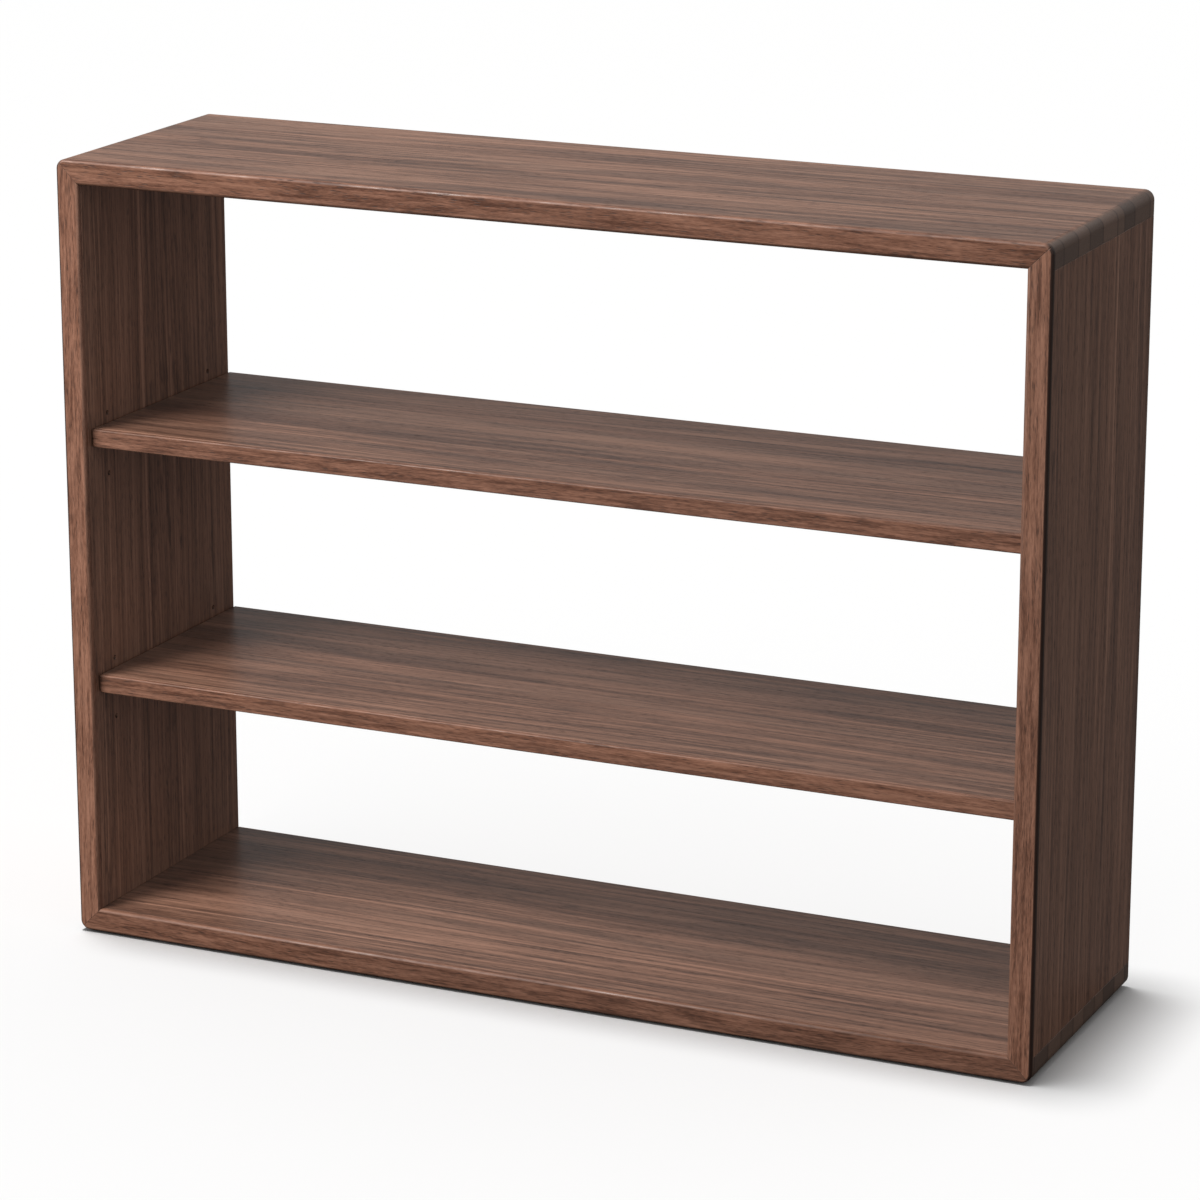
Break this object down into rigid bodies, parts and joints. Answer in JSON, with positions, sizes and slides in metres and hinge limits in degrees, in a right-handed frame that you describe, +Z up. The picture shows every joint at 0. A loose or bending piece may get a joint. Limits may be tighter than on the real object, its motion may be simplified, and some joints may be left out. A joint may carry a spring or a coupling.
{
  "type": "bookcase",
  "caption": "Low, wide open-backed bookcase in walnut with mitred front lippings, rounded corners and lift-off shelves on metal pegs.",
  "frame": {"origin": "on the floor, under the middle of the case", "axes": "+X to the right seen from the front, +Y to the rear, +Z up"},
  "size_m": [1.06, 0.3, 0.825],
  "materials": {
    "walnut_board": "satin oiled walnut, open pores, grain along each board",
    "walnut_lipping": "satin oiled solid walnut, straight grain along the strip",
    "beech_dowel": "plain fluted beech",
    "nickel_steel": "nickel-plated steel",
    "nylon_glide": "moulded black nylon"
  },
  "bodies": {
    "case": {"top_board": "walnut_board", "bottom_board": "walnut_board", "left_side": "walnut_board", "right_side": "walnut_board", "top_front_lipping": "walnut_lipping", "bottom_front_lipping": "walnut_lipping", "left_front_lipping": "walnut_lipping", "right_front_lipping": "walnut_lipping", "top_left_dowels": "beech_dowel", "top_right_dowels": "beech_dowel", "bottom_left_dowels": "beech_dowel", "bottom_right_dowels": "beech_dowel", "left_front_glide": "nylon_glide", "left_rear_glide": "nylon_glide", "right_front_glide": "nylon_glide", "right_rear_glide": "nylon_glide"},
    "upper_shelf": {"upper_shelf_board": "walnut_board", "upper_shelf_lipping": "walnut_lipping"},
    "lower_shelf": {"lower_shelf_board": "walnut_board", "lower_shelf_lipping": "walnut_lipping"},
    "upper_left_front_peg_body": {"upper_left_front_peg": "nickel_steel"},
    "upper_left_rear_peg_body": {"upper_left_rear_peg": "nickel_steel"},
    "upper_right_front_peg_body": {"upper_right_front_peg": "nickel_steel"},
    "upper_right_rear_peg_body": {"upper_right_rear_peg": "nickel_steel"},
    "lower_left_front_peg_body": {"lower_left_front_peg": "nickel_steel"},
    "lower_left_rear_peg_body": {"lower_left_rear_peg": "nickel_steel"},
    "lower_right_front_peg_body": {"lower_right_front_peg": "nickel_steel"},
    "lower_right_rear_peg_body": {"lower_right_rear_peg": "nickel_steel"}
  },
  "joints": [
    {"name": "upper_shelf_lift", "type": "slide", "parent": "case", "child": "upper_shelf", "axis": [0, 0, 1], "range_m": [0, 0.2545]},
    {"name": "lower_shelf_lift", "type": "slide", "parent": "case", "child": "lower_shelf", "axis": [0, 0, 1], "range_m": [0, 0.237]},
    {"name": "upper_left_front_peg_pull", "type": "slide", "parent": "case", "child": "upper_left_front_peg_body", "axis": [1, 0, 0], "range_m": [0, 0.012]},
    {"name": "upper_left_rear_peg_pull", "type": "slide", "parent": "case", "child": "upper_left_rear_peg_body", "axis": [1, 0, 0], "range_m": [0, 0.012]},
    {"name": "upper_right_front_peg_pull", "type": "slide", "parent": "case", "child": "upper_right_front_peg_body", "axis": [-1, 0, 0], "range_m": [0, 0.012]},
    {"name": "upper_right_rear_peg_pull", "type": "slide", "parent": "case", "child": "upper_right_rear_peg_body", "axis": [-1, 0, 0], "range_m": [0, 0.012]},
    {"name": "lower_left_front_peg_pull", "type": "slide", "parent": "case", "child": "lower_left_front_peg_body", "axis": [1, 0, 0], "range_m": [0, 0.012]},
    {"name": "lower_left_rear_peg_pull", "type": "slide", "parent": "case", "child": "lower_left_rear_peg_body", "axis": [1, 0, 0], "range_m": [0, 0.012]},
    {"name": "lower_right_front_peg_pull", "type": "slide", "parent": "case", "child": "lower_right_front_peg_body", "axis": [-1, 0, 0], "range_m": [0, 0.012]},
    {"name": "lower_right_rear_peg_pull", "type": "slide", "parent": "case", "child": "lower_right_rear_peg_body", "axis": [-1, 0, 0], "range_m": [0, 0.012]}
  ]
}
